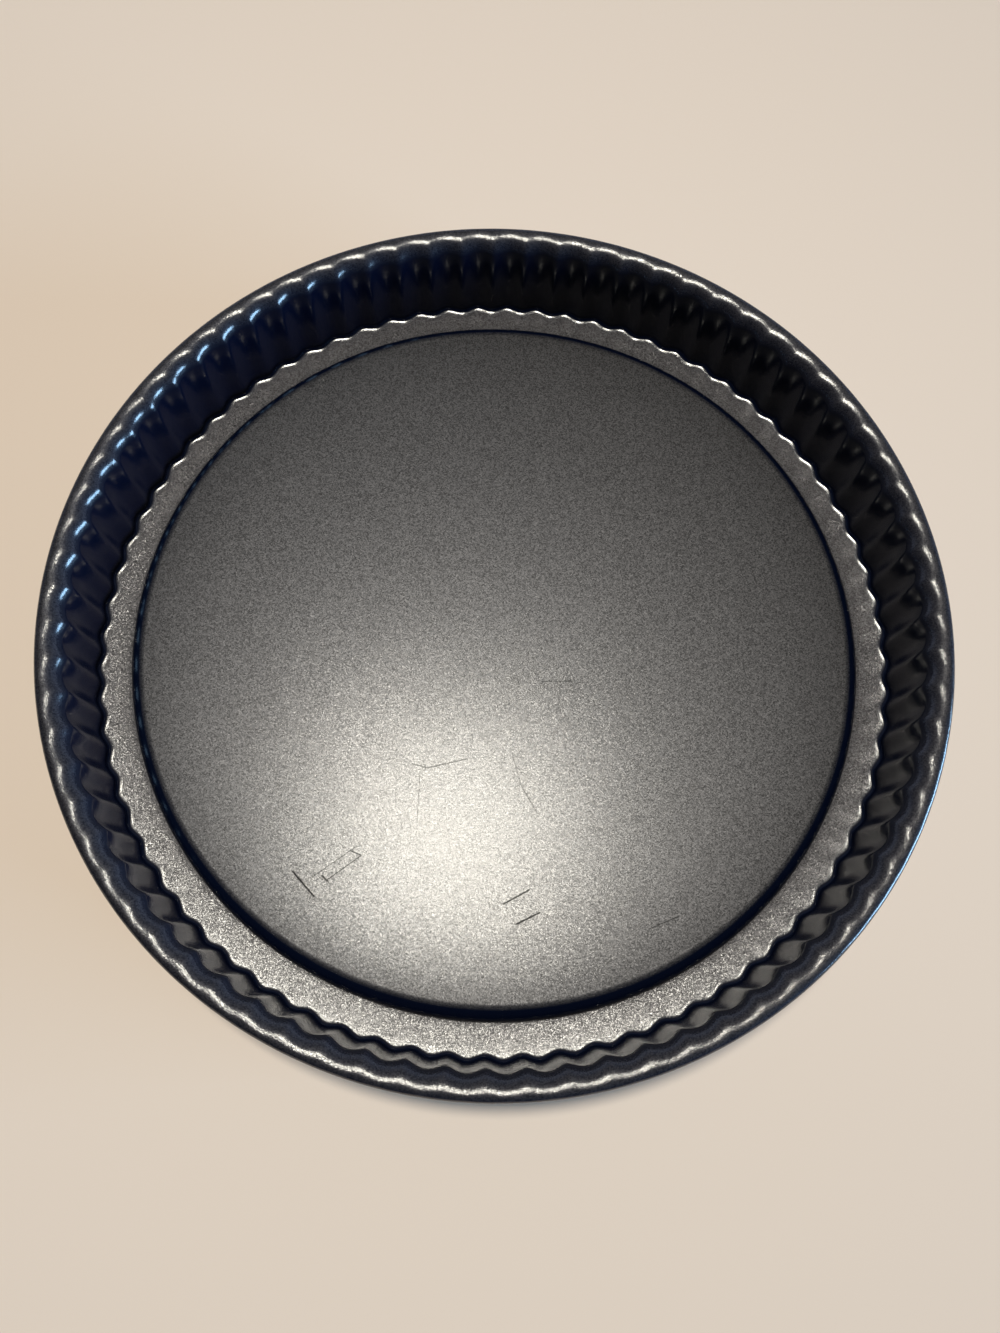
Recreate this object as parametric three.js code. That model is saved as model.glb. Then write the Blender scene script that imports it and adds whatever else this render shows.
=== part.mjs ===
// Fluted tart pan with a lift-out base: a fluted steel ring with a rolled, wired rim,
// and a raised round base that stands on the ledge of the ring.
// Millimetres, +Z up. The origin is on the table, under the middle of the pan.

import * as THREE from 'three';

// Overall sizes
const RIM_DIAMETER = 296;
const PAN_HEIGHT = 37.7;
const SHEET = 0.6;

// Fluted wall
const FLUTE_COUNT = 75;
const FLUTE_DEPTH = 1.6;
const FLUTE_DEPTH_AT_LEDGE = 1.45;
const FLUTE_DEPTH_AT_CREST = 0.65;
const FLUTE_ROUNDNESS = 0.6;
const WALL_DRAFT_DEGREES = 0.1;
const CORNER_RADIUS = 1.6;

// Rolled rim
const FLARE_RADIUS = 5.35;
const WIRE_DIAMETER = 2.4;
const WIRE_CLEARANCE = 0.4;
const TUCK_DEGREES = 50;

// Ledge that carries the base, and the collar that centres it
const LEDGE_WIDTH = 10.8;
const LEDGE_RISE = 0.4;
const SEAT_MARGIN = 2;
const COLLAR_HEIGHT = 2.8;
const COLLAR_BEND_RADIUS = 0.8;

// Lift-out base
const BASE_RISE = 7.9;
const SHOULDER_RADIUS = 5.9;
const SEAT_CLEARANCE = 0.3;

// Facets: points round the pan, and steps along each bend of the sheet
const POINTS_PER_FLUTE = 4;
const FLUTED_POINTS = FLUTE_COUNT * POINTS_PER_FLUTE;
const PLAIN_POINTS = FLUTE_COUNT;
const BASE_POINTS = 100;
const WIRE_SIDES = 6;
const FOOD_FACE = { rimPoints: 2 * FLUTE_COUNT, bend: 1, corner: 3, flare: 3, roll: 2, tuck: 3 };
const BACK_FACE = { rimPoints: FLUTE_COUNT, bend: 1, corner: 2, flare: 2, roll: 2, tuck: 3 };
const SHOULDER_STEPS = 3;

// Directions in the section of the sheet, as angles from the outward radius
const OUTWARD = 0;
const UPWARD = Math.PI / 2;
const INWARD = Math.PI;
const DOWNWARD = -Math.PI / 2;

// Rim: the curl is rolled round the wire, and the flare meets it at the crest
const curlRadius = WIRE_DIAMETER / 2 + WIRE_CLEARANCE + SHEET;
const crestRadius = RIM_DIAMETER / 2 - curlRadius;
const wireHeight = PAN_HEIGHT - curlRadius;
const flareHeight = PAN_HEIGHT - FLARE_RADIUS;
const curlEnd = DOWNWARD - THREE.MathUtils.degToRad(TUCK_DEGREES);

// Wall: a straight line between the flare and the corner bend
const draft = THREE.MathUtils.degToRad(WALL_DRAFT_DEGREES);
const wallFacing = INWARD - draft;
const wallTopRadius = crestRadius - FLARE_RADIUS * Math.cos(draft);
const wallTopHeight = flareHeight + FLARE_RADIUS * Math.sin(draft);
const cornerHeight = SHEET + LEDGE_RISE + CORNER_RADIUS;
const wallFootHeight = cornerHeight - CORNER_RADIUS * Math.sin(draft);
const wallFootRadius = wallTopRadius - (wallTopHeight - wallFootHeight) * Math.tan(draft);
const cornerCentreRadius = wallFootRadius - CORNER_RADIUS * Math.cos(draft);

// Seat: the base's skirt stands on the flat part of the ledge, round the collar
const baseRadius = cornerCentreRadius - LEDGE_WIDTH;
const skirtInnerRadius = baseRadius - SHEET;
const collarRadius = skirtInnerRadius - SEAT_CLEARANCE - COLLAR_BEND_RADIUS;
const baseTop = SHEET + BASE_RISE;

// Height of the flute's inward ridge at a phase of the pattern: 1 on the ridge, 0 in the hollow.
// Roundness 0 is a plain wave, and 1 is round hollows that meet in a sharp ridge.
function ridge(phase) {
  const wave = (1 + Math.cos(phase)) / 2;
  const scallop = 1 - Math.abs(Math.sin(phase / 2));
  return THREE.MathUtils.lerp(wave, scallop, FLUTE_ROUNDNESS);
}

// A place on the section of the sheet: a point, the way its food face looks there,
// the depth of the flutes and the number of points round the pan.
function place(radius, height, facing, fluteDepth, points) {
  return { radius, height, facing, fluteDepth, points };
}

// Places along a bend. A negative radius bends the food face inwards.
function bend(centreRadius, centreHeight, radius, from, to, steps, describe) {
  const places = [];
  for (let i = 0; i <= steps; i++) {
    const share = i / steps;
    const facing = THREE.MathUtils.lerp(from, to, share);
    const { fluteDepth, points } = describe(share);
    const r = centreRadius + radius * Math.cos(facing);
    const z = centreHeight + radius * Math.sin(facing);
    places.push(place(r, z, facing, fluteDepth, points));
  }
  return places;
}

// The food face of the ring's sheet, from the top of the collar to the edge tucked under the rim
function ringSection(face) {
  const plain = () => ({ fluteDepth: 0, points: PLAIN_POINTS });
  const growing = (share) => ({
    fluteDepth: THREE.MathUtils.lerp(FLUTE_DEPTH_AT_LEDGE, FLUTE_DEPTH, share),
    points: FLUTED_POINTS,
  });
  const fading = (share) => ({
    fluteDepth: THREE.MathUtils.lerp(FLUTE_DEPTH, FLUTE_DEPTH_AT_CREST, share),
    points: FLUTED_POINTS,
  });
  const rolled = () => ({ fluteDepth: 0, points: face.rimPoints });
  const bendCentre = collarRadius + COLLAR_BEND_RADIUS;
  const bendHeight = SHEET + COLLAR_BEND_RADIUS;
  const roll = bend(crestRadius, wireHeight, curlRadius, UPWARD, OUTWARD, face.roll, rolled);
  const tuck = bend(crestRadius, wireHeight, curlRadius, OUTWARD, curlEnd, face.tuck, rolled);
  return [
    place(collarRadius, SHEET + COLLAR_HEIGHT, OUTWARD, 0, PLAIN_POINTS),
    ...bend(bendCentre, bendHeight, -COLLAR_BEND_RADIUS, OUTWARD, UPWARD, face.bend, plain),
    place(baseRadius + SEAT_MARGIN, SHEET, UPWARD, 0, PLAIN_POINTS),
    ...bend(cornerCentreRadius, cornerHeight, -CORNER_RADIUS, UPWARD, wallFacing, face.corner, growing),
    ...bend(crestRadius, flareHeight, FLARE_RADIUS, wallFacing, UPWARD, face.flare, fading),
    ...roll.slice(1),
    ...tuck.slice(1),
  ];
}

// One ring of points round the pan, at a depth below the food face
function ringOfPoints(positions, { radius, height, facing, fluteDepth, points }, depth) {
  const start = positions.length / 3;
  const z = height - depth * Math.sin(facing);
  for (let i = 0; i < points; i++) {
    const angle = (i / points) * 2 * Math.PI;
    const r = radius - depth * Math.cos(facing) - fluteDepth * ridge(FLUTE_COUNT * angle);
    positions.push(r * Math.cos(angle), r * Math.sin(angle), z);
  }
  return { start, points };
}

// Fills the band between two rings, where one count of points is a multiple of the other
function joinRings(triangles, first, second) {
  const steps = Math.max(first.points, second.points);
  const at = (ring, i) => ring.start + (Math.round((i * ring.points) / steps) % ring.points);
  for (let i = 0; i < steps; i++) {
    const a = at(first, i);
    const b = at(first, i + 1);
    const c = at(second, i);
    const d = at(second, i + 1);
    if (a !== b) triangles.push(a, d, b);
    if (c !== d) triangles.push(a, c, d);
  }
}

// The ring: one pressed sheet, its food face and back face joined at both edges
function makeFlutedRing() {
  const positions = [];
  const triangles = [];
  const food = ringSection(FOOD_FACE).map((p) => ringOfPoints(positions, p, 0));
  const back = ringSection(BACK_FACE).map((p) => ringOfPoints(positions, p, SHEET));
  const loop = [...food, ...back.reverse()];
  loop.forEach((ring, i) => joinRings(triangles, ring, loop[(i + 1) % loop.length]));
  const geometry = new THREE.BufferGeometry();
  geometry.setAttribute('position', new THREE.Float32BufferAttribute(positions, 3));
  geometry.setIndex(triangles);
  geometry.computeVertexNormals();
  return geometry;
}

// The wire that stiffens the rolled rim
function makeRimWire() {
  const geometry = new THREE.TorusGeometry(crestRadius, WIRE_DIAMETER / 2, WIRE_SIDES, PLAIN_POINTS);
  geometry.translate(0, 0, wireHeight);
  return geometry;
}

// A quarter turn of the base's shoulder, on a face at a depth below the outer one
function shoulder(depth) {
  const centre = new THREE.Vector2(baseRadius - SHOULDER_RADIUS, baseTop - SHOULDER_RADIUS);
  const points = [];
  for (let i = 0; i <= SHOULDER_STEPS; i++) {
    const angle = (i / SHOULDER_STEPS) * UPWARD;
    const radius = SHOULDER_RADIUS - depth;
    points.push(new THREE.Vector2(radius * Math.cos(angle), radius * Math.sin(angle)).add(centre));
  }
  return points;
}

// The base: a shallow tray turned over, with a flat top, a round shoulder and a skirt
function makeLiftOutBase() {
  const profile = [
    new THREE.Vector2(0, baseTop - SHEET),
    ...shoulder(SHEET).reverse(),
    new THREE.Vector2(skirtInnerRadius, SHEET),
    new THREE.Vector2(baseRadius, SHEET),
    ...shoulder(0),
    new THREE.Vector2(0, baseTop),
  ];
  const geometry = new THREE.LatheGeometry(profile, BASE_POINTS);
  geometry.rotateX(Math.PI / 2);
  return geometry;
}

function coatedSteel() {
  return new THREE.MeshStandardMaterial({ color: '#45464a', roughness: 0.4, metalness: 0.6 });
}

function plainSteel() {
  return new THREE.MeshStandardMaterial({ color: '#a3a5a6', roughness: 0.35, metalness: 1 });
}

function part(name, geometry, material) {
  const mesh = new THREE.Mesh(geometry, material);
  mesh.name = name;
  return mesh;
}

const pan = new THREE.Group();
pan.add(part('fluted_ring', makeFlutedRing(), coatedSteel()));
pan.add(part('rim_wire', makeRimWire(), plainSteel()));
pan.add(part('lift_out_base', makeLiftOutBase(), coatedSteel()));

export default pan;
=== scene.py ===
# Fluted tart pan: a fluted ring with a rolled rim, the wire inside the roll, and a raised base
# that lifts out. Fine meshes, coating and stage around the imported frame, in metres.
import math
from collections import namedtuple

import bmesh
import bpy
from bpy.props import FloatProperty, FloatVectorProperty, IntProperty, PointerProperty
from mathutils import Matrix, Vector


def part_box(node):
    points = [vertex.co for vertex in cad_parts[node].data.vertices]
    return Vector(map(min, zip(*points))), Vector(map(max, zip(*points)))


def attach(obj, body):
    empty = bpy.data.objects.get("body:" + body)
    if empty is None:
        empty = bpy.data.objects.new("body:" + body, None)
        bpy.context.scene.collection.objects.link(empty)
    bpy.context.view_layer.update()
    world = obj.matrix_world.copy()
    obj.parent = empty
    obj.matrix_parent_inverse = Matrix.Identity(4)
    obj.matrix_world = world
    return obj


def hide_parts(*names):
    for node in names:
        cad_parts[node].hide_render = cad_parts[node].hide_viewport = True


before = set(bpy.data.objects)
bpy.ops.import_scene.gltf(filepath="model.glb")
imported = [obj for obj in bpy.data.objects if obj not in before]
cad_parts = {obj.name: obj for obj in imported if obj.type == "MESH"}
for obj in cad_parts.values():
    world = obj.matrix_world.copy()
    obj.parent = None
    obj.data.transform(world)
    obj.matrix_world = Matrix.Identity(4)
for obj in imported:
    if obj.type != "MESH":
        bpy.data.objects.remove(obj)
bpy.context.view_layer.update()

bl_info = {
    "name": "Fluted Tart Pan",
    "version": (1, 0, 0),
    "blender": (4, 5, 0),
    "location": "View3D > Sidebar > Tart Pan",
    "description": "Fluted tart pan with a rolled rim and a lift-out base, on a pale studio floor",
    "category": "Add Mesh",
}

RING_LOW, RING_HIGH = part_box("fluted_ring")
BASE_LOW, BASE_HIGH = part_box("lift_out_base")
MM = 0.001

QUARTER_TURN = math.pi / 2
FULL_TURN = 2 * math.pi

# Points round the pan, and round the section of the wire
POINTS_PER_FLUTE = 14
BASE_POINTS = 288
WIRE_POINTS = 300
WIRE_SIDES = 16

# Points that lie this close to each other are joined
SEAM = 0.001 * MM

# Steps along a stretch of a sheet's section, on the food face and on the back face
Steps = namedtuple("Steps", "food back")
ONE_STEP = Steps(1, 1)
COLLAR_STEPS = Steps(4, 2)
LEDGE_STEPS = Steps(4, 2)
CORNER_START_STEPS = Steps(5, 1)
CORNER_STEPS = Steps(5, 3)
WALL_STEPS = Steps(4, 2)
FLARE_STEPS = Steps(4, 2)
CREST_STEPS = Steps(7, 3)
ROLL_STEPS = Steps(4, 2)
TUCK_STEPS = Steps(7, 5)
FLAT_TOP_STEPS = Steps(5, 2)
CROWN_STEPS = Steps(3, 2)
SHOULDER_START_STEPS = Steps(5, 2)
SHOULDER_STEPS = Steps(10, 5)

# Steps round the rounded edge of a sheet
LIP_STEPS = 3

# How far the narrowest ridges of the flutes are rounded, where 0 is a sharp edge
RIDGE_ROUNDING = 0.18

# The share of the ledge that stays without flutes, and of the base's top that stays flat
PLAIN_LEDGE = 0.4
FLAT_TOP = 0.8

# How far round the roll the flutes fade out
ROLL_FADE = math.radians(42.0)

# Leans between which the flakes thin out in the corner, and at which they are gone on the shoulder
CORNER_THINS = (math.radians(3.0), math.radians(19.0))
SHOULDER_THINNED = math.radians(22.0)

# How bare of flakes the coating is where the ledge meets the corner, on the flare where it still
# climbs at this lean, on the crest and round the roll
LEDGE_BARE = 0.15
FLARE_LEAN = math.radians(57.0)
FLARE_BARE = 0.75
CREST_BARE = 0.32
ROLL_BARE = 0.8

# Specks for each flake along a line, so that a speck is two or three flakes wide
SPECK_SHARE = 0.4

# The middle of a texture's numbers and colours, which go from 0 to 1
MIDDLE = 0.5

# Clouds in the gloss of the coating, and the grain of the wire: how many on a metre, and their detail
CLOUDS_PER_METRE = 26.0
CLOUD_DETAIL = 4.0
GRAINS_PER_METRE = 900.0
GRAIN_DETAIL = 3.0

# The wire's lowest and highest roughness and its darkest colour, as shares of its settings
WIRE_SMOOTH = 0.8
WIRE_ROUGH = 1.3
WIRE_DULL = 0.8

# What is left of the flakes' colour in a knife mark, and how rough the mark is
MARK_TINT = 0.25
MARK_ROUGHNESS = 0.95

# The floor: half its side, its roughness, and how far it stays clear of the sheet that stands on it
FLOOR_REACH = 8.0
FLOOR_ROUGHNESS = 0.7
FLOOR_GAP = 0.05 * MM

# How high a direction points where only the ceiling's light is left, and how far back it points
# where the room starts to dim and where it is as dim as on the viewer's side
CEILING_FROM = 0.7
DIM_FROM = 0.8
DIM_TO = -0.2

# The long side of the film, in millimetres, and the nearest that the camera sees, in metres
FILM_SIDE = 36.0
NEAREST_SEEN = 0.01

# Where a Mix node takes its factor and both values, and where the mix comes out
MixSockets = namedtuple("MixSockets", "factor first second result")
NUMBER_SOCKETS = MixSockets(0, 2, 3, 0)
COLOUR_SOCKETS = MixSockets(0, 6, 7, 2)

# How the sheet is pressed at a point of the section: how deep the flutes are, how sharp their ridges
# are, how far the ledge lifts in their hollows, and how bare of flakes the coating is there
Press = namedtuple("Press", "depth sharpness lift bare")
SHARPEST = 1.0
NO_FLAKES = 1.0
PLAIN = Press(0.0, 0.0, 0.0, 0.0)
BARE = PLAIN._replace(bare=NO_FLAKES)

# One stretch of a sheet's section: its steps, how it is pressed at its end, and its length where it
# is straight, or the radius and angle of its bend
Stretch = namedtuple("Stretch", "steps press length radius angle", defaults=(0.0, 0.0, 0.0))

# The coating's finish on one piece
Finish = namedtuple("Finish", "flake_colour flake_tilt flake_gloss binder_roughness")

# Marks of a knife on the base: from, to and width in millimetres, and strength
KNIFE_MARKS = (
    ((-59.0, -86.9), (-51.1, -94.1), 0.5, 1.0),
    ((-52.5, -88.1), (-39.5, -77.0), 0.26, 0.6),
    ((-47.5, -88.5), (-37.5, -79.7), 0.3, 0.85),
    ((-41.3, -78.5), (-37.5, -79.7), 0.32, 0.9),
    ((-49.3, -87.4), (-47.4, -88.9), 0.5, 1.0),
    ((-24.5, -47.9), (-19.1, -48.8), 0.3, 0.65),
    ((-19.1, -48.8), (-6.3, -44.5), 0.3, 0.65),
    ((-21.6, -49.3), (-20.6, -67.4), 0.26, 0.4),
    ((8.5, -40.5), (12.5, -51.5), 0.26, 0.4),
    ((12.5, -51.5), (18.6, -60.3), 0.3, 0.65),
    ((10.3, -90.9), (18.2, -85.7), 0.45, 0.95),
    ((15.0, -96.8), (22.1, -92.6), 0.48, 1.0),
    ((18.7, -77.8), (19.8, -85.0), 0.26, 0.4),
    ((16.8, -15.0), (27.7, -13.7), 0.28, 0.6),
    ((57.7, -94.5), (67.3, -89.6), 0.28, 0.55),
)


def length(name, description, default):
    """A length in metres that a user may change."""
    return FloatProperty(
        name=name, description=description, default=default, min=0.0, subtype="DISTANCE", unit="LENGTH"
    )


def angle(name, description, degrees):
    """An angle that a user may change."""
    return FloatProperty(
        name=name,
        description=description,
        default=math.radians(degrees),
        subtype="ANGLE",
        unit="ROTATION",
    )


def share(name, description, default):
    """A plain number from 0 to 1 that a user may change."""
    return FloatProperty(
        name=name, description=description, default=default, min=0.0, max=1.0, subtype="FACTOR"
    )


def index(name, description, default):
    """A refractive index that a user may change."""
    return FloatProperty(name=name, description=description, default=default, min=1.0, max=2.0)


def power(name, description, default):
    """The power of a lamp, in watts."""
    return FloatProperty(
        name=name, description=description, default=default, min=0.0, subtype="POWER", unit="POWER"
    )


def colour(name, description, default):
    """A linear colour that a user may change."""
    return FloatVectorProperty(
        name=name, description=description, default=default, min=0.0, max=1.0, size=3, subtype="COLOR"
    )


def place(name, description, default):
    """A place in the frame, in metres."""
    return FloatVectorProperty(
        name=name, description=description, default=default, size=3, subtype="TRANSLATION", unit="LENGTH"
    )


class TartPanSizes(bpy.types.PropertyGroup):
    """Sizes of the sheet, the flutes, the rim, the ledge and the base"""

    rim_diameter: length("Rim Diameter", "Across the rolled rim", RING_HIGH.x - RING_LOW.x)
    pan_height: length("Pan Height", "From the table to the top of the rim", RING_HIGH.z)
    sheet: length("Sheet", "Thickness of the pressed sheet", 0.6 * MM)
    flute_count: IntProperty(name="Flutes", description="Flutes round the wall", default=75, min=3)
    flute_depth: length("Flute Depth", "Depth of a flute on the wall", 1.6 * MM)
    flute_depth_at_ledge: length("Flute Depth at Ledge", "Depth where the corner meets the ledge", 1.45 * MM)
    flute_depth_at_crest: length("Flute Depth at Crest", "Depth on top of the rim", 0.65 * MM)
    sharpness_at_foot: share(
        "Sharpness at Foot", "0 is a plain wave, 1 is round hollows and narrow ridges", 0.25
    )
    sharpness_at_top: share("Sharpness at Top", "The same at the top of the wall", 0.9)
    ledge_lift: length("Ledge Lift", "How far the ledge lifts in the hollows of the flutes", 0.11 * MM)
    wall_draft: angle("Wall Draft", "Outward lean of the wall", 0.1)
    corner_start: length("Corner Start", "Easy start of the bend between the ledge and the wall", 5.0 * MM)
    corner_ease: angle("Corner Ease", "Lean at which the bend tightens", 20.0)
    corner_radius: length("Corner Radius", "Tight part of the bend under the wall", 1.5 * MM)
    flare_radius: length("Flare Radius", "Bend between the wall and the top of the rim", 5.35 * MM)
    wire_diameter: length("Wire Diameter", "Wire inside the rolled rim", 2.4 * MM)
    wire_clearance: length("Wire Clearance", "Room between the wire and the sheet", 0.4 * MM)
    tuck: angle("Tuck", "How far the roll goes on past its underside", 50.0)
    ledge_slope: angle("Ledge Slope", "How steeply the ledge rises towards the wall", 2.4)
    seat_margin: length("Seat Margin", "Flat part of the ledge outside the base", 2.0 * MM)
    collar_height: length("Collar Height", "Collar that centres the base, above the ledge", 2.8 * MM)
    collar_bend: length("Collar Bend", "Bend between the collar and the ledge", 0.8 * MM)
    seat_clearance: length("Seat Clearance", "Room between the collar and the base's skirt", 0.3 * MM)
    base_diameter: length("Base Diameter", "Across the base's skirt", BASE_HIGH.x - BASE_LOW.x)
    base_top: length("Base Top", "From the table to the top of the base", BASE_HIGH.z)
    crown: angle("Crown", "How far the base's top leans at its edge", 1.6)
    shoulder_radius: length("Shoulder Radius", "Round edge of the base", 5.9 * MM)


class TartPanCoating(bpy.types.PropertyGroup):
    """Looks of the dark coating and of the bare wire"""

    ring_flake_colour: colour("Ring Flakes", "Colour of the flakes on the ring", (0.063, 0.061, 0.067))
    ring_flake_tilt: share("Ring Flake Tilt", "How far the flakes lean on the ring", 0.3)
    ring_flake_gloss: share("Ring Flake Gloss", "Gloss of the binder over the ring's flakes", 0.62)
    ring_binder_roughness: share("Ring Binder Roughness", "Roughness of the binder on the ring", 0.19)
    base_flake_colour: colour("Base Flakes", "Colour of the flakes on the base", (0.0735, 0.073, 0.0795))
    base_flake_tilt: share("Base Flake Tilt", "How far the flakes lean on the base", 0.155)
    base_flake_gloss: share("Base Flake Gloss", "Gloss of the binder over the base's flakes", 0.505)
    base_binder_roughness: share("Base Binder Roughness", "Roughness of the binder on the base", 0.22)
    binder_index: index("Binder Index", "Refractive index of the clear binder", 1.6)
    flake_metal: share("Flake Metal", "How metallic the flakes are", 0.85)
    flake_edge: share("Flake Edge", "How bright the flakes stay at a glancing angle, under the binder", 0.35)
    flake_roughness: share("Flake Roughness", "Roughness of the layer of flakes", 0.46)
    flake_size: length("Flake Size", "Size of the mica flakes in the coating", 0.15 * MM)
    flake_contrast: share("Flake Contrast", "How much lighter and darker specks of flakes are", 0.55)
    binder_tilt: share("Binder Tilt", "How much of the flakes' lean shows through the binder", 0.9)
    # The ground is the coating's own near-black, and its strong blue is a painted tint that stands in for
    # the cool window light reflected on the walls, flare and roll
    ground_and_painted_blue: colour("Ground", "Colour of the coating without flakes", (0.001, 0.003, 0.013))
    ground_tilt: share("Ground Tilt", "How much of the lean is left without flakes", 0.12)
    haze: share("Haze", "How much handling has changed the gloss", 0.05)
    wire_colour: colour("Wire", "Colour of the drawn wire", (0.55, 0.55, 0.56))
    wire_roughness: share("Wire Roughness", "Roughness of the drawn wire", 0.35)


class TartPanStage(bpy.types.PropertyGroup):
    """Floor, lamps, room and camera"""

    floor_colour: colour("Floor", "Colour of the floor", (0.778, 0.658, 0.57))
    lamp_colour: colour("Lamp", "Colour of the lamp above the pan", (1.0, 0.955, 0.83))
    lamp_power: power("Lamp Power", "Power of the lamp above the pan", 19.0)
    lamp_size: length("Lamp Size", "Diameter of the lamp above the pan", 0.24)
    lamp_place: place("Lamp Place", "Where the lamp above the pan hangs", (-0.067, 0.1, 1.5))
    window_colour: colour("Window", "Colour of the cool light from the right", (0.4, 0.68, 1.0))
    window_power: power("Window Power", "Power of the cool light from the right", 510.0)
    window_width: length("Window Width", "Width of the cool light from the right", 3.5)
    window_height: length("Window Height", "Height of the cool light from the right", 1.6)
    window_place: place("Window Place", "Where the cool light stands", (5.84, -0.92, 0.82))
    room_colour: colour("Room", "Light from the far side of the room", (0.36, 0.42, 0.58))
    ceiling_colour: colour("Ceiling", "Light from the room above", (0.07, 0.07, 0.075))
    front_colour: colour("Front", "Light from the side of the viewer", (0.012, 0.013, 0.016))
    backdrop_colour: colour("Backdrop", "What the camera sees behind the floor", (0.6, 0.57, 0.54))
    lens: FloatProperty(
        name="Lens",
        description="Focal length for a 36 mm long side",
        default=27.03,
        min=1.0,
        subtype="DISTANCE_CAMERA",
    )
    elevation: angle("Elevation", "How far the camera looks down", 73.205)
    roll: angle("Roll", "Turn of the camera about its own axis", 4.99)
    turn: angle("Turn", "Turn of the camera round the pan", 0.37)
    distance: length("Distance", "From the camera to the place that it looks at", 354.4 * MM)
    target: place("Target", "The place that the camera looks at", (1.81 * MM, -9.0 * MM, 1.8 * MM))


def direction(heading):
    """The unit step of a heading in the XZ plane, 0 outwards and a quarter turn up."""
    return Vector((math.cos(heading), 0.0, math.sin(heading)))


class SheetPen:
    """Draws the section of a sheet in the XZ plane, one stretch after another."""

    def __init__(self, mesh, start, heading):
        self.mesh = mesh
        self.layers = [mesh.verts.layers.float.new(field) for field in Press._fields]
        self.tip = bmesh.ops.create_vert(mesh, co=start)["vert"][0]
        self.heading = heading
        self.press = PLAIN

    def turn(self, radius, turned, steps, press):
        """A round stretch, to the left where the angle is positive."""
        known = len(self.mesh.verts)
        side = self.heading + math.copysign(QUARTER_TURN, turned)
        made = bmesh.ops.spin(
            self.mesh,
            geom=[self.tip],
            cent=self.tip.co + radius * direction(side),
            axis=(0.0, -1.0, 0.0),
            angle=turned,
            steps=steps,
        )
        self.tip = next(g for g in made["geom_last"] if isinstance(g, bmesh.types.BMVert))
        self.heading += turned
        self.grade(known, press)

    def straight(self, far, steps, press):
        """A straight stretch along the heading."""
        known = len(self.mesh.verts)
        step = direction(self.heading) * (far / steps)
        for _ in range(steps):
            self.tip = bmesh.ops.extrude_vert_indiv(self.mesh, verts=[self.tip])["verts"][0]
            bmesh.ops.translate(self.mesh, verts=[self.tip], vec=step)
        self.grade(known, press)

    def grade(self, known, press):
        """Spreads the change of the pressing over the points of the last stretch."""
        self.mesh.verts.ensure_lookup_table()
        points = self.mesh.verts[known:]
        for i, point in enumerate(points, 1):
            for layer, start, end in zip(self.layers, self.press, press):
                point[layer] = start + (end - start) * i / len(points)
        self.press = press

    def food_face(self, stretches):
        """The face that the food lies on, from the first stretch to the last."""
        for s in stretches:
            if s.angle:
                self.turn(s.radius, s.angle, s.steps.food, s.press)
            else:
                self.straight(s.length, s.steps.food, s.press)

    def back_face(self, stretches, sheet):
        """The other face, from the last stretch to the first."""
        starts = [PLAIN] + [s.press for s in stretches[:-1]]
        for s, press in reversed(list(zip(stretches, starts))):
            if s.angle:
                back_radius = s.radius + math.copysign(sheet, s.angle)
                self.turn(back_radius, -s.angle, s.steps.back, press)
            else:
                self.straight(s.length, s.steps.back, press)

    def lip(self, sheet):
        """The rounded edge of the sheet."""
        self.turn(sheet / 2, -math.pi, LIP_STEPS, PLAIN)


def curl_radius(sizes):
    """Outer radius of the roll round the wire."""
    return sizes.wire_diameter / 2 + sizes.wire_clearance + sizes.sheet


def crest_radius(sizes):
    """Distance of the rim's crest, and of the wire, from the pan's axis."""
    return sizes.rim_diameter / 2 - curl_radius(sizes)


def arc_reach(radius, start, end):
    """How far a bend goes out and up between two headings; to the right where the radius is negative."""
    return radius * Vector((math.sin(end) - math.sin(start), math.cos(start) - math.cos(end)))


def part_way(start, end, share_done, bare):
    """The pressing part of the way from one place to another, but with its own bareness."""
    mixed = Press(*(a + (b - a) * share_done for a, b in zip(start, end)))
    return mixed._replace(bare=bare)


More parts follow.
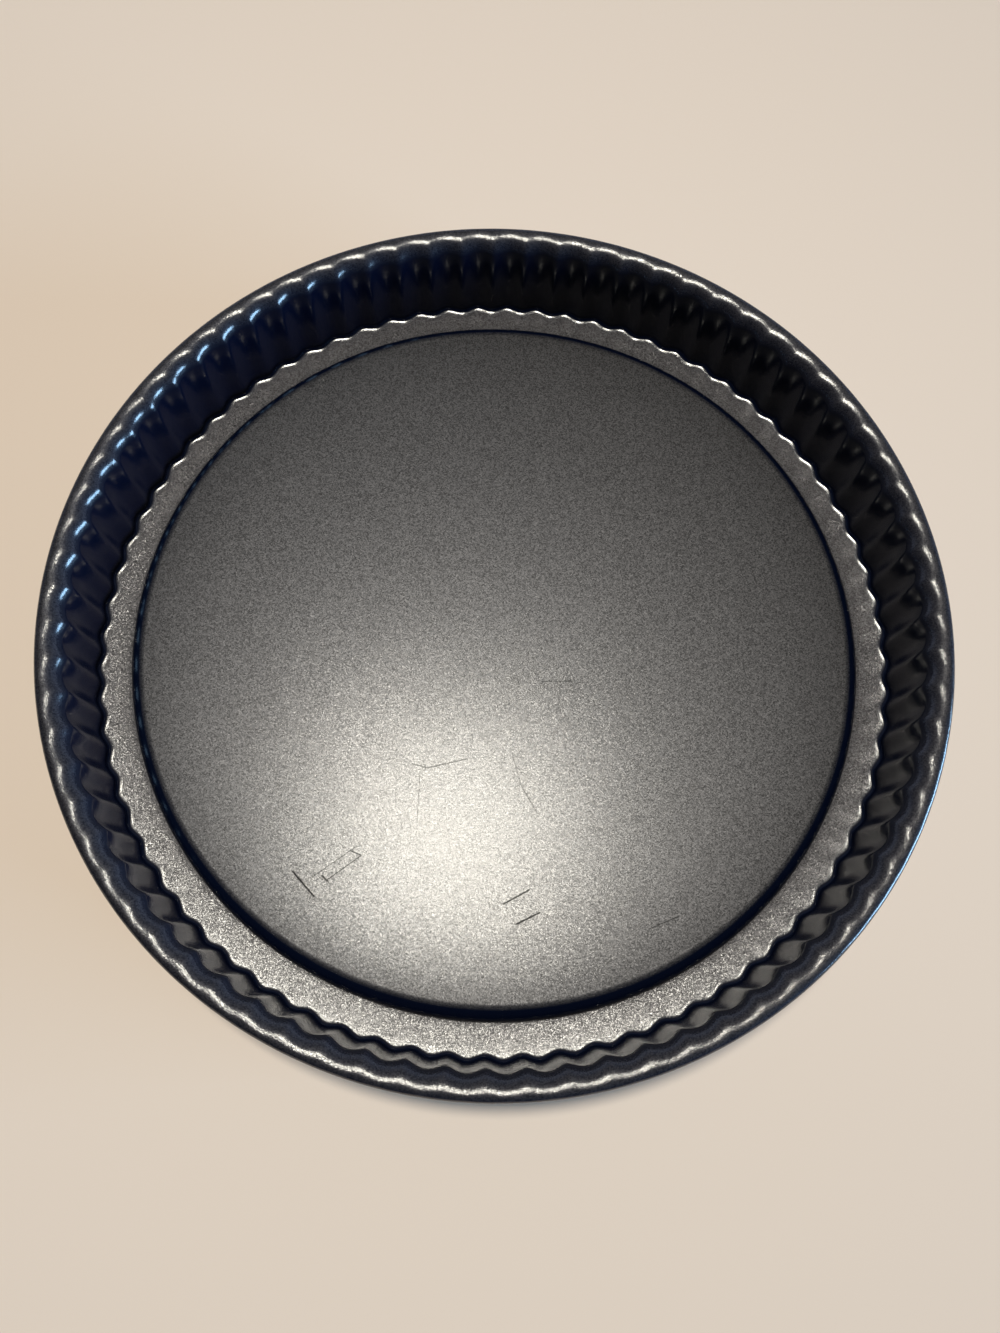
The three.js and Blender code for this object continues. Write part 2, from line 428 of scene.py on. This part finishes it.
def ring_stretches(sizes):
    """Where the seat starts, and the sheet: collar, seat, ledge, corner, wall, flare and roll."""
    upright = QUARTER_TURN - sizes.wall_draft
    seat_end = sizes.base_diameter / 2 + sizes.seat_margin
    seat_start = sizes.base_diameter / 2 - sizes.sheet - sizes.seat_clearance
    slope = sizes.ledge_slope
    # The ledge and the wall are as long as the room that the bends leave
    room = Vector((crest_radius(sizes) - seat_end, sizes.pan_height - sizes.sheet))
    room -= arc_reach(sizes.collar_bend, 0, slope)
    room -= arc_reach(sizes.corner_start, slope, sizes.corner_ease)
    room -= arc_reach(sizes.corner_radius, sizes.corner_ease, upright)
    room -= arc_reach(-sizes.flare_radius, upright, 0)
    spread = math.sin(upright - slope)
    ledge = (room.x * math.sin(upright) - room.y * math.cos(upright)) / spread
    wall = (room.y * math.cos(slope) - room.x * math.sin(slope)) / spread
    roll = math.pi + sizes.tuck
    collar = sizes.collar_height - sizes.collar_bend - sizes.sheet / 2
    at_ledge = Press(sizes.flute_depth_at_ledge, 0.0, sizes.ledge_lift, LEDGE_BARE)
    on_wall = Press(sizes.flute_depth, sizes.sharpness_at_foot, 0.0, NO_FLAKES)
    wall_top = on_wall._replace(sharpness=sizes.sharpness_at_top)
    at_crest = Press(sizes.flute_depth_at_crest, SHARPEST, 0.0, CREST_BARE)
    rolled = PLAIN._replace(bare=ROLL_BARE)

    def in_corner(lean, bare):
        """The pressing at a lean in the corner."""
        return part_way(at_ledge, on_wall, (lean - slope) / (upright - slope), bare)

    thins, thinned = CORNER_THINS
    ease = sizes.corner_ease
    easy = sizes.corner_start
    curl = curl_radius(sizes)
    in_flare = part_way(wall_top, at_crest, 1 - FLARE_LEAN / upright, FLARE_BARE)
    return seat_start, [
        Stretch(ONE_STEP, PLAIN, length=collar),
        Stretch(COLLAR_STEPS, PLAIN, radius=sizes.collar_bend, angle=QUARTER_TURN),
        Stretch(ONE_STEP, PLAIN, length=seat_end - seat_start),
        Stretch(ONE_STEP, PLAIN, radius=sizes.collar_bend, angle=slope),
        Stretch(ONE_STEP, PLAIN, length=ledge * PLAIN_LEDGE),
        Stretch(LEDGE_STEPS, at_ledge, length=ledge * (1 - PLAIN_LEDGE)),
        Stretch(ONE_STEP, in_corner(thins, LEDGE_BARE), radius=easy, angle=thins - slope),
        Stretch(CORNER_START_STEPS, in_corner(thinned, NO_FLAKES), radius=easy, angle=thinned - thins),
        Stretch(ONE_STEP, in_corner(ease, NO_FLAKES), radius=easy, angle=ease - thinned),
        Stretch(CORNER_STEPS, on_wall, radius=sizes.corner_radius, angle=upright - ease),
        Stretch(WALL_STEPS, wall_top, length=wall),
        Stretch(FLARE_STEPS, in_flare, radius=sizes.flare_radius, angle=FLARE_LEAN - upright),
        Stretch(CREST_STEPS, at_crest, radius=sizes.flare_radius, angle=-FLARE_LEAN),
        Stretch(ROLL_STEPS, rolled, radius=curl, angle=-ROLL_FADE),
        Stretch(ROLL_STEPS, rolled, radius=curl, angle=ROLL_FADE - QUARTER_TURN),
        Stretch(TUCK_STEPS, rolled, radius=curl, angle=QUARTER_TURN - roll),
    ]


def base_stretches(sizes):
    """The base's sheet: flat top, crown, shoulder and skirt."""
    shoulder = arc_reach(-sizes.shoulder_radius, -sizes.crown, -QUARTER_TURN)
    top = sizes.base_diameter / 2 - shoulder.x
    crown_radius = top * (1 - FLAT_TOP) / math.sin(sizes.crown)
    crown = arc_reach(-crown_radius, 0, -sizes.crown)
    # Under the skirt are its own rounded lip and the sheet of the ring
    under = sizes.sheet / 2 + sizes.sheet
    skirt = sizes.base_top + crown.y + shoulder.y - under
    round_edge = sizes.shoulder_radius
    return [
        Stretch(FLAT_TOP_STEPS, PLAIN, length=top * FLAT_TOP),
        Stretch(CROWN_STEPS, PLAIN, radius=crown_radius, angle=-sizes.crown),
        Stretch(SHOULDER_START_STEPS, BARE, radius=round_edge, angle=sizes.crown - SHOULDER_THINNED),
        Stretch(SHOULDER_STEPS, BARE, radius=round_edge, angle=SHOULDER_THINNED - QUARTER_TURN),
        Stretch(ONE_STEP, BARE, length=skirt),
    ]


def ridge(phase, sharpness):
    """Height of a flute's inward ridge: 1 on the ridge and 0 in the hollow."""
    wave = (1 + math.cos(phase)) / 2
    low = math.hypot(1.0, RIDGE_ROUNDING)
    scallop = (low - math.hypot(math.sin(phase / 2), RIDGE_ROUNDING)) / (low - RIDGE_ROUNDING)
    return wave + (scallop - wave) * sharpness


def press_flutes(mesh, sizes):
    """Moves the points of a plain sector in to the flutes' ridges, and lifts the ledge in the hollows."""
    layers = [mesh.verts.layers.float[field] for field in Press._fields]
    for point in mesh.verts:
        press = Press(*(point[layer] for layer in layers))
        if press.depth:
            radius = math.hypot(point.co.x, point.co.y)
            phase = sizes.flute_count * math.atan2(point.co.y, point.co.x)
            height = ridge(phase, press.sharpness)
            shrink = 1 - press.depth * height / radius
            point.co.x *= shrink
            point.co.y *= shrink
            point.co.z += press.lift * (1 - height)


def spin_about_axis(mesh, turned, steps, copies=False):
    """Turns everything in a mesh about the pan's axis, as a swept face or as copies."""
    bmesh.ops.spin(
        mesh,
        geom=mesh.verts[:] + mesh.edges[:] + mesh.faces[:],
        cent=(0.0, 0.0, 0.0),
        axis=(0.0, 0.0, 1.0),
        angle=turned,
        steps=steps,
        use_merge=turned == FULL_TURN,
        use_duplicate=copies,
    )


def close_seams(mesh):
    """Joins points that lie on each other."""
    bmesh.ops.remove_doubles(mesh, verts=mesh.verts, dist=SEAM)


def sweep_round(mesh, points):
    """Turns a section once round the pan's axis and closes it."""
    spin_about_axis(mesh, FULL_TURN, points)
    close_seams(mesh)


def sweep_flutes(mesh, sizes):
    """Sweeps a section through one flute, presses it, and repeats it round the pan."""
    pitch = FULL_TURN / sizes.flute_count
    spin_about_axis(mesh, pitch, POINTS_PER_FLUTE)
    press_flutes(mesh, sizes)
    # The sector is copied by one factor of the count after another, until it goes all the way round
    made, left = 1, sizes.flute_count
    while left > 1:
        times = next(n for n in range(2, left + 1) if left % n == 0)
        spin_about_axis(mesh, pitch * made * (times - 1), times - 1, copies=True)
        made *= times
        left //= times
    close_seams(mesh)


def settle(mesh, name, material, body):
    """Makes a bmesh a smooth piece of the pan that stands for the CAD node of its name."""
    bmesh.ops.recalc_face_normals(mesh, faces=mesh.faces)
    for face in mesh.faces:
        face.smooth = True
    data = bpy.data.meshes.new(name + "_fine")
    mesh.to_mesh(data)
    mesh.free()
    data.materials.append(material)
    piece = bpy.data.objects.new(name + "_fine", data)
    bpy.context.scene.collection.objects.link(piece)
    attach(piece, body)
    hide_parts(name)


def opaque(tint, times=1.0):
    """A colour, made darker or lighter by a factor, with full alpha."""
    return (*(times * part for part in tint), 1.0)


class NodeSketch:
    """Adds nodes to a tree and joins them."""

    def __init__(self, tree):
        self.tree = tree

    def add(self, kind, **settings):
        """A node with these settings."""
        node = self.tree.nodes.new(kind)
        for key, value in settings.items():
            setattr(node, key, value)
        return node

    def join(self, source, target):
        """A link from an output to an input."""
        self.tree.links.new(source, target)

    def feed(self, target, value):
        """Joins an output to an input, or sets a plain value there."""
        if isinstance(value, bpy.types.NodeSocket):
            self.join(value, target)
        else:
            target.default_value = value

    def maths(self, operation, *values, clamp=False):
        """The result of a Math node."""
        node = self.add("ShaderNodeMath", operation=operation, use_clamp=clamp)
        for socket, value in zip(node.inputs, values):
            self.feed(socket, value)
        return node.outputs[0]

    def vector(self, operation, *values, scale=None):
        """A Vector Math node."""
        node = self.add("ShaderNodeVectorMath", operation=operation)
        for socket, value in zip(node.inputs, values):
            self.feed(socket, value)
        if scale is not None:
            self.feed(node.inputs["Scale"], scale)
        return node

    def mix(self, kind, sockets, amount, first, second):
        """The result of a Mix node of one kind."""
        node = self.add("ShaderNodeMix", data_type=kind)
        self.feed(node.inputs[sockets.factor], amount)
        self.feed(node.inputs[sockets.first], first)
        self.feed(node.inputs[sockets.second], second)
        return node.outputs[sockets.result]

    def blend(self, amount, first, second):
        """A mix of two numbers."""
        return self.mix("FLOAT", NUMBER_SOCKETS, amount, first, second)

    def blend_colour(self, amount, first, second):
        """A mix of two colours."""
        return self.mix("RGBA", COLOUR_SOCKETS, amount, first, second)


def new_group(name, inputs, outputs):
    """An empty shader node group with named sockets, its sketch, and its input and output nodes."""
    tree = bpy.data.node_groups.new(name, "ShaderNodeTree")
    for label, kind in inputs:
        tree.interface.new_socket(name=label, in_out="INPUT", socket_type=kind)
    for label, kind in outputs:
        tree.interface.new_socket(name=label, in_out="OUTPUT", socket_type=kind)
    sketch = NodeSketch(tree)
    return tree, sketch, sketch.add("NodeGroupInput"), sketch.add("NodeGroupOutput")


def mica_grain_group():
    """Mica flakes in a coating: each flake leans its own way, and the gloss drifts in clouds."""
    name = "Mica Grain"
    if name in bpy.data.node_groups:
        return bpy.data.node_groups[name]
    tree, sketch, given, made = new_group(
        name,
        (
            ("Vector", "NodeSocketVector"),
            ("Flakes per Metre", "NodeSocketFloat"),
            ("Tilt", "NodeSocketFloat"),
            ("Binder Share", "NodeSocketFloat"),
            ("Roughness", "NodeSocketFloat"),
            ("Haze", "NodeSocketFloat"),
        ),
        (
            ("Normal", "NodeSocketVector"),
            ("Binder Normal", "NodeSocketVector"),
            ("Roughness", "NodeSocketFloat"),
            ("Flake", "NodeSocketFloat"),
        ),
    )
    flakes = sketch.add("ShaderNodeTexVoronoi", voronoi_dimensions="3D", feature="F1")
    sketch.join(given.outputs["Vector"], flakes.inputs["Vector"])
    sketch.join(given.outputs["Flakes per Metre"], flakes.inputs["Scale"])
    lean = sketch.vector("SUBTRACT", flakes.outputs["Color"], (MIDDLE, MIDDLE, MIDDLE))
    lean = sketch.vector("SCALE", lean.outputs["Vector"], scale=given.outputs["Tilt"])
    veiled = sketch.vector("SCALE", lean.outputs["Vector"], scale=given.outputs["Binder Share"])
    surface = sketch.add("ShaderNodeNewGeometry")
    for layer, label in ((lean, "Normal"), (veiled, "Binder Normal")):
        leaning = sketch.vector("ADD", surface.outputs["Normal"], layer.outputs["Vector"])
        leaning = sketch.vector("NORMALIZE", leaning.outputs["Vector"])
        sketch.join(leaning.outputs["Vector"], made.inputs[label])
    clouds = sketch.add("ShaderNodeTexNoise", noise_dimensions="3D")
    sketch.join(given.outputs["Vector"], clouds.inputs["Vector"])
    clouds.inputs["Scale"].default_value = CLOUDS_PER_METRE
    clouds.inputs["Detail"].default_value = CLOUD_DETAIL
    drift = sketch.maths("SUBTRACT", clouds.outputs["Fac"], MIDDLE)
    drift = sketch.maths("MULTIPLY", drift, given.outputs["Haze"])
    rough = sketch.maths("ADD", given.outputs["Roughness"], drift)
    specks = sketch.add("ShaderNodeTexVoronoi", voronoi_dimensions="3D", feature="F1")
    sketch.join(given.outputs["Vector"], specks.inputs["Vector"])
    specks_per_metre = sketch.maths("MULTIPLY", given.outputs["Flakes per Metre"], SPECK_SHARE)
    sketch.join(specks_per_metre, specks.inputs["Scale"])
    parts = sketch.add("ShaderNodeSeparateColor")
    sketch.join(specks.outputs["Color"], parts.inputs["Color"])
    sketch.join(rough, made.inputs["Roughness"])
    sketch.join(parts.outputs["Red"], made.inputs["Flake"])
    return tree


def knife_mark_group():
    """The mask of one straight knife mark between two places."""
    name = "Knife Mark"
    if name in bpy.data.node_groups:
        return bpy.data.node_groups[name]
    tree, sketch, given, made = new_group(
        name,
        (
            ("Vector", "NodeSocketVector"),
            ("From", "NodeSocketVector"),
            ("To", "NodeSocketVector"),
            ("Width", "NodeSocketFloat"),
            ("Strength", "NodeSocketFloat"),
        ),
        (("Mask", "NodeSocketFloat"),),
    )
    away = sketch.vector("SUBTRACT", given.outputs["Vector"], given.outputs["From"]).outputs["Vector"]
    along = sketch.vector("SUBTRACT", given.outputs["To"], given.outputs["From"]).outputs["Vector"]
    reach = sketch.vector("DOT_PRODUCT", away, along).outputs["Value"]
    whole = sketch.vector("DOT_PRODUCT", along, along).outputs["Value"]
    done = sketch.maths("DIVIDE", reach, whole, clamp=True)
    foot = sketch.vector("SCALE", along, scale=done).outputs["Vector"]
    gap = sketch.vector("DISTANCE", away, foot).outputs["Value"]
    fade = sketch.add("ShaderNodeMapRange", interpolation_type="SMOOTHSTEP")
    sketch.join(gap, fade.inputs["Value"])
    sketch.join(given.outputs["Width"], fade.inputs["From Min"])
    fade.inputs["From Max"].default_value = 0.0
    mask = sketch.maths("MULTIPLY", fade.outputs["Result"], given.outputs["Strength"])
    sketch.join(mask, made.inputs["Mask"])
    return tree


def new_material(name):
    """A material with a Principled shader alone in its node tree, its sketch and the shader."""
    material = bpy.data.materials.new(name)
    material.use_nodes = True
    sketch = NodeSketch(material.node_tree)
    material.node_tree.nodes.clear()
    shader = sketch.add("ShaderNodeBsdfPrincipled")
    output = sketch.add("ShaderNodeOutputMaterial")
    sketch.join(shader.outputs["BSDF"], output.inputs["Surface"])
    return material, sketch, shader


def coating_material(name, look, finish, marks=()):
    """Dark non-stick coating: mica flakes that thin out where the sheet is bent, a dark ground whose blue is
    painted cool light where they are bare, and knife marks.
    """
    material, sketch, shader = new_material(name)
    texture = sketch.add("ShaderNodeTexCoord")
    coords = texture.outputs["Object"]
    bare = sketch.add("ShaderNodeAttribute", attribute_name="bare").outputs["Fac"]
    grain = sketch.add("ShaderNodeGroup")
    grain.node_tree = mica_grain_group()
    sketch.join(coords, grain.inputs["Vector"])
    grain.inputs["Flakes per Metre"].default_value = 1 / look.flake_size
    grain.inputs["Binder Share"].default_value = look.binder_tilt
    grain.inputs["Roughness"].default_value = look.flake_roughness
    grain.inputs["Haze"].default_value = look.haze
    tilt = sketch.blend(bare, finish.flake_tilt, finish.flake_tilt * look.ground_tilt)
    sketch.join(tilt, grain.inputs["Tilt"])
    dark = opaque(finish.flake_colour, 1 - look.flake_contrast)
    light = opaque(finish.flake_colour, 1 + look.flake_contrast)
    tint = sketch.blend_colour(grain.outputs["Flake"], dark, light)
    # Where the flakes are bare the colour turns to the ground, whose blue is painted cool light on the
    # walls, flare and roll
    tint = sketch.blend_colour(bare, tint, opaque(look.ground_and_painted_blue))
    rough = grain.outputs["Roughness"]
    gloss = sketch.blend(bare, finish.flake_gloss, 1.0)
    if marks:
        flat = sketch.vector("MULTIPLY", coords, (1.0, 1.0, 0.0)).outputs["Vector"]
        mask = 0.0
        for start, end, width, strength in marks:
            mark = sketch.add("ShaderNodeGroup")
            mark.node_tree = knife_mark_group()
            sketch.join(flat, mark.inputs["Vector"])
            mark.inputs["From"].default_value = (start[0] * MM, start[1] * MM, 0.0)
            mark.inputs["To"].default_value = (end[0] * MM, end[1] * MM, 0.0)
            mark.inputs["Width"].default_value = width * MM
            mark.inputs["Strength"].default_value = strength
            mask = sketch.maths("MAXIMUM", mask, mark.outputs["Mask"])
        # The marks are on the top of the base and not on its underside
        facing = sketch.add("ShaderNodeSeparateXYZ")
        sketch.join(texture.outputs["Normal"], facing.inputs["Vector"])
        mask = sketch.maths("MULTIPLY", mask, sketch.maths("GREATER_THAN", facing.outputs["Z"], 0.0))
        tint = sketch.blend_colour(mask, tint, opaque(finish.flake_colour, MARK_TINT))
        rough = sketch.blend(mask, rough, MARK_ROUGHNESS)
        gloss = sketch.blend(mask, gloss, 0.0)
    sketch.join(tint, shader.inputs["Base Color"])
    sketch.join(rough, shader.inputs["Roughness"])
    sketch.join(grain.outputs["Normal"], shader.inputs["Normal"])
    sketch.join(grain.outputs["Binder Normal"], shader.inputs["Coat Normal"])
    sketch.join(sketch.blend(bare, look.flake_metal, 0.0), shader.inputs["Metallic"])
    sketch.join(gloss, shader.inputs["Coat Weight"])
    shader.inputs["Specular IOR Level"].default_value = 0.0
    shader.inputs["Specular Tint"].default_value = opaque((1.0, 1.0, 1.0), look.flake_edge)
    shader.inputs["Coat Roughness"].default_value = finish.binder_roughness
    shader.inputs["Coat IOR"].default_value = look.binder_index
    return material


def wire_material(look):
    """Bare drawn steel with a fine grain."""
    material, sketch, shader = new_material("drawn_wire")
    coords = sketch.add("ShaderNodeTexCoord").outputs["Object"]
    grain = sketch.add("ShaderNodeTexNoise", noise_dimensions="3D")
    sketch.join(coords, grain.inputs["Vector"])
    grain.inputs["Scale"].default_value = GRAINS_PER_METRE
    grain.inputs["Detail"].default_value = GRAIN_DETAIL
    low = look.wire_roughness * WIRE_SMOOTH
    high = look.wire_roughness * WIRE_ROUGH
    sketch.join(sketch.blend(grain.outputs["Fac"], low, high), shader.inputs["Roughness"])
    dull = opaque(look.wire_colour, WIRE_DULL)
    tint = sketch.blend_colour(grain.outputs["Fac"], dull, opaque(look.wire_colour))
    sketch.join(tint, shader.inputs["Base Color"])
    shader.inputs["Metallic"].default_value = 1.0
    return material


class TARTPAN_OT_fluted_ring(bpy.types.Operator):
    """Presses the fluted ring with its ledge, collar and rolled rim"""

    bl_idname = "tartpan.fluted_ring"
    bl_label = "Fluted Ring"

    def execute(self, context):
        sizes = context.scene.tart_pan_sizes
        seat_start, stretches = ring_stretches(sizes)
        mesh = bmesh.new()
        collar = seat_start - sizes.collar_bend
        start = (collar, 0.0, sizes.sheet / 2 + sizes.collar_height)
        pen = SheetPen(mesh, start, -QUARTER_TURN)
        pen.food_face(stretches)
        pen.lip(sizes.sheet)
        pen.back_face(stretches, sizes.sheet)
        pen.lip(sizes.sheet)
        close_seams(mesh)
        sweep_flutes(mesh, sizes)
        look = context.scene.tart_pan_coating
        finish = Finish(
            look.ring_flake_colour,
            look.ring_flake_tilt,
            look.ring_flake_gloss,
            look.ring_binder_roughness,
        )
        coating = coating_material("coating_ring", look, finish)
        settle(mesh, "fluted_ring", coating, "ring")
        return {"FINISHED"}


class TARTPAN_OT_rim_wire(bpy.types.Operator):
    """Bends the wire that stiffens the rolled rim"""

    bl_idname = "tartpan.rim_wire"
    bl_label = "Rim Wire"

    def execute(self, context):
        sizes = context.scene.tart_pan_sizes
        mesh = bmesh.new()
        round_wire = bmesh.ops.create_circle(mesh, radius=sizes.wire_diameter / 2, segments=WIRE_SIDES)
        bmesh.ops.rotate(mesh, verts=round_wire["verts"], matrix=Matrix.Rotation(QUARTER_TURN, 3, "X"))
        height = sizes.pan_height - curl_radius(sizes)
        bmesh.ops.translate(mesh, verts=round_wire["verts"], vec=(crest_radius(sizes), 0.0, height))
        sweep_round(mesh, WIRE_POINTS)
        settle(mesh, "rim_wire", wire_material(context.scene.tart_pan_coating), "ring")
        return {"FINISHED"}


class TARTPAN_OT_lift_out_base(bpy.types.Operator):
    """Presses the raised base with its round shoulder and its skirt"""

    bl_idname = "tartpan.lift_out_base"
    bl_label = "Lift-Out Base"

    def execute(self, context):
        sizes = context.scene.tart_pan_sizes
        stretches = base_stretches(sizes)
        mesh = bmesh.new()
        pen = SheetPen(mesh, (0.0, 0.0, sizes.base_top), 0.0)
        pen.food_face(stretches)
        pen.lip(sizes.sheet)
        pen.back_face(stretches, sizes.sheet)
        sweep_round(mesh, BASE_POINTS)
        look = context.scene.tart_pan_coating
        finish = Finish(
            look.base_flake_colour,
            look.base_flake_tilt,
            look.base_flake_gloss,
            look.base_binder_roughness,
        )
        coating = coating_material("coating_base", look, finish, KNIFE_MARKS)
        settle(mesh, "lift_out_base", coating, "base")
        return {"FINISHED"}


def area_lamp(name, shape, width, height, energy, tint, where, aim):
    """A soft lamp that looks at a place."""
    data = bpy.data.lights.new(name, "AREA")
    data.shape = shape
    data.size = width
    data.size_y = height
    data.energy = energy
    data.color = tint
    lamp = bpy.data.objects.new(name, data)
    lamp.location = where
    lamp.rotation_euler = (Vector(aim) - Vector(where)).to_track_quat("-Z", "Y").to_euler()
    bpy.context.scene.collection.objects.link(lamp)


def light_room(stage):
    """A soft room, cool low down at the far side and dim elsewhere, and a backdrop for the camera."""
    world = bpy.data.worlds.new("soft_room")
    world.use_nodes = True
    world.node_tree.nodes.clear()
    sketch = NodeSketch(world.node_tree)
    coords = sketch.add("ShaderNodeTexCoord")
    parts = sketch.add("ShaderNodeSeparateXYZ")
    sketch.join(coords.outputs["Generated"], parts.inputs["Vector"])
    upward = sketch.add("ShaderNodeMapRange", interpolation_type="SMOOTHSTEP")
    sketch.join(parts.outputs["Z"], upward.inputs["Value"])
    upward.inputs["From Max"].default_value = CEILING_FROM
    toward = sketch.add("ShaderNodeMapRange", interpolation_type="SMOOTHSTEP")
    sketch.join(parts.outputs["Y"], toward.inputs["Value"])
    toward.inputs["From Min"].default_value = DIM_FROM
    toward.inputs["From Max"].default_value = DIM_TO
    far_side = opaque(stage.room_colour)
    room = sketch.blend_colour(upward.outputs["Result"], far_side, opaque(stage.ceiling_colour))
    room = sketch.blend_colour(toward.outputs["Result"], room, opaque(stage.front_colour))
    seen = sketch.add("ShaderNodeLightPath").outputs["Is Camera Ray"]
    room = sketch.blend_colour(seen, room, opaque(stage.backdrop_colour))
    background = sketch.add("ShaderNodeBackground")
    output = sketch.add("ShaderNodeOutputWorld")
    sketch.join(room, background.inputs["Color"])
    sketch.join(background.outputs["Background"], output.inputs["Surface"])
    bpy.context.scene.world = world


def lay_floor(stage):
    """A plain pale floor."""
    mesh = bmesh.new()
    bmesh.ops.create_grid(mesh, x_segments=1, y_segments=1, size=FLOOR_REACH)
    bmesh.ops.translate(mesh, verts=mesh.verts, vec=(0.0, 0.0, -FLOOR_GAP))
    data = bpy.data.meshes.new("floor")
    mesh.to_mesh(data)
    mesh.free()
    material, _, shader = new_material("floor_paint")
    shader.inputs["Base Color"].default_value = opaque(stage.floor_colour)
    shader.inputs["Roughness"].default_value = FLOOR_ROUGHNESS
    data.materials.append(material)
    floor = bpy.data.objects.new("floor", data)
    bpy.context.scene.collection.objects.link(floor)


def set_camera(stage):
    """A camera at the height, tilt and roll of the picture."""
    data = bpy.data.cameras.new("camera")
    data.sensor_width = FILM_SIDE
    data.lens = stage.lens
    data.clip_start = NEAREST_SEEN
    camera = bpy.data.objects.new("camera", data)
    camera.matrix_world = (
        Matrix.Rotation(stage.turn, 4, "Z")
        @ Matrix.Translation(Vector(stage.target))
        @ Matrix.Rotation(QUARTER_TURN - stage.elevation, 4, "X")
        @ Matrix.Rotation(stage.roll, 4, "Z")
        @ Matrix.Translation((0.0, 0.0, stage.distance))
    )
    bpy.context.scene.collection.objects.link(camera)
    bpy.context.scene.camera = camera


class TARTPAN_OT_stage(bpy.types.Operator):
    """Sets the pale floor, the lamps, the room and the camera"""

    bl_idname = "tartpan.stage"
    bl_label = "Stage"

    def execute(self, context):
        stage = context.scene.tart_pan_stage
        lay_floor(stage)
        light_room(stage)
        middle = (0.0, 0.0, 0.0)
        area_lamp(
            "lamp_above",
            "DISK",
            stage.lamp_size,
            stage.lamp_size,
            stage.lamp_power,
            stage.lamp_colour,
            stage.lamp_place,
            middle,
        )
        area_lamp(
            "cool_window",
            "RECTANGLE",
            stage.window_width,
            stage.window_height,
            stage.window_power,
            stage.window_colour,
            stage.window_place,
            middle,
        )
        set_camera(stage)
        context.scene.view_settings.view_transform = "Standard"
        return {"FINISHED"}


class TARTPAN_PT_sidebar(bpy.types.Panel):
    """Lists the pan's pieces, sizes and looks"""

    bl_idname = "TARTPAN_PT_sidebar"
    bl_label = "Fluted Tart Pan"
    bl_space_type = "VIEW_3D"
    bl_region_type = "UI"
    bl_category = "Tart Pan"

    def draw(self, context):
        for operator in OPERATORS:
            self.layout.operator(operator.bl_idname)
        for group in (
            context.scene.tart_pan_sizes,
            context.scene.tart_pan_coating,
            context.scene.tart_pan_stage,
        ):
            box = self.layout.box()
            for key in group.bl_rna.properties.keys():
                if key not in {"rna_type", "name"}:
                    box.prop(group, key)


GROUPS = (TartPanSizes, TartPanCoating, TartPanStage)
OPERATORS = (
    TARTPAN_OT_fluted_ring,
    TARTPAN_OT_rim_wire,
    TARTPAN_OT_lift_out_base,
    TARTPAN_OT_stage,
)
CLASSES = (*GROUPS, *OPERATORS, TARTPAN_PT_sidebar)


def register():
    """Registers the classes and puts the settings on the scene."""
    for cls in CLASSES:
        bpy.utils.register_class(cls)
    bpy.types.Scene.tart_pan_sizes = PointerProperty(type=TartPanSizes)
    bpy.types.Scene.tart_pan_coating = PointerProperty(type=TartPanCoating)
    bpy.types.Scene.tart_pan_stage = PointerProperty(type=TartPanStage)


def unregister():
    """Takes the settings off the scene and unregisters the classes."""
    del bpy.types.Scene.tart_pan_stage
    del bpy.types.Scene.tart_pan_coating
    del bpy.types.Scene.tart_pan_sizes
    for cls in reversed(CLASSES):
        bpy.utils.unregister_class(cls)


def main():
    """Makes the pan and its stage."""
    register()
    bpy.ops.tartpan.fluted_ring()
    bpy.ops.tartpan.rim_wire()
    bpy.ops.tartpan.lift_out_base()
    bpy.ops.tartpan.stage()


if __name__ == "__main__":
    main()
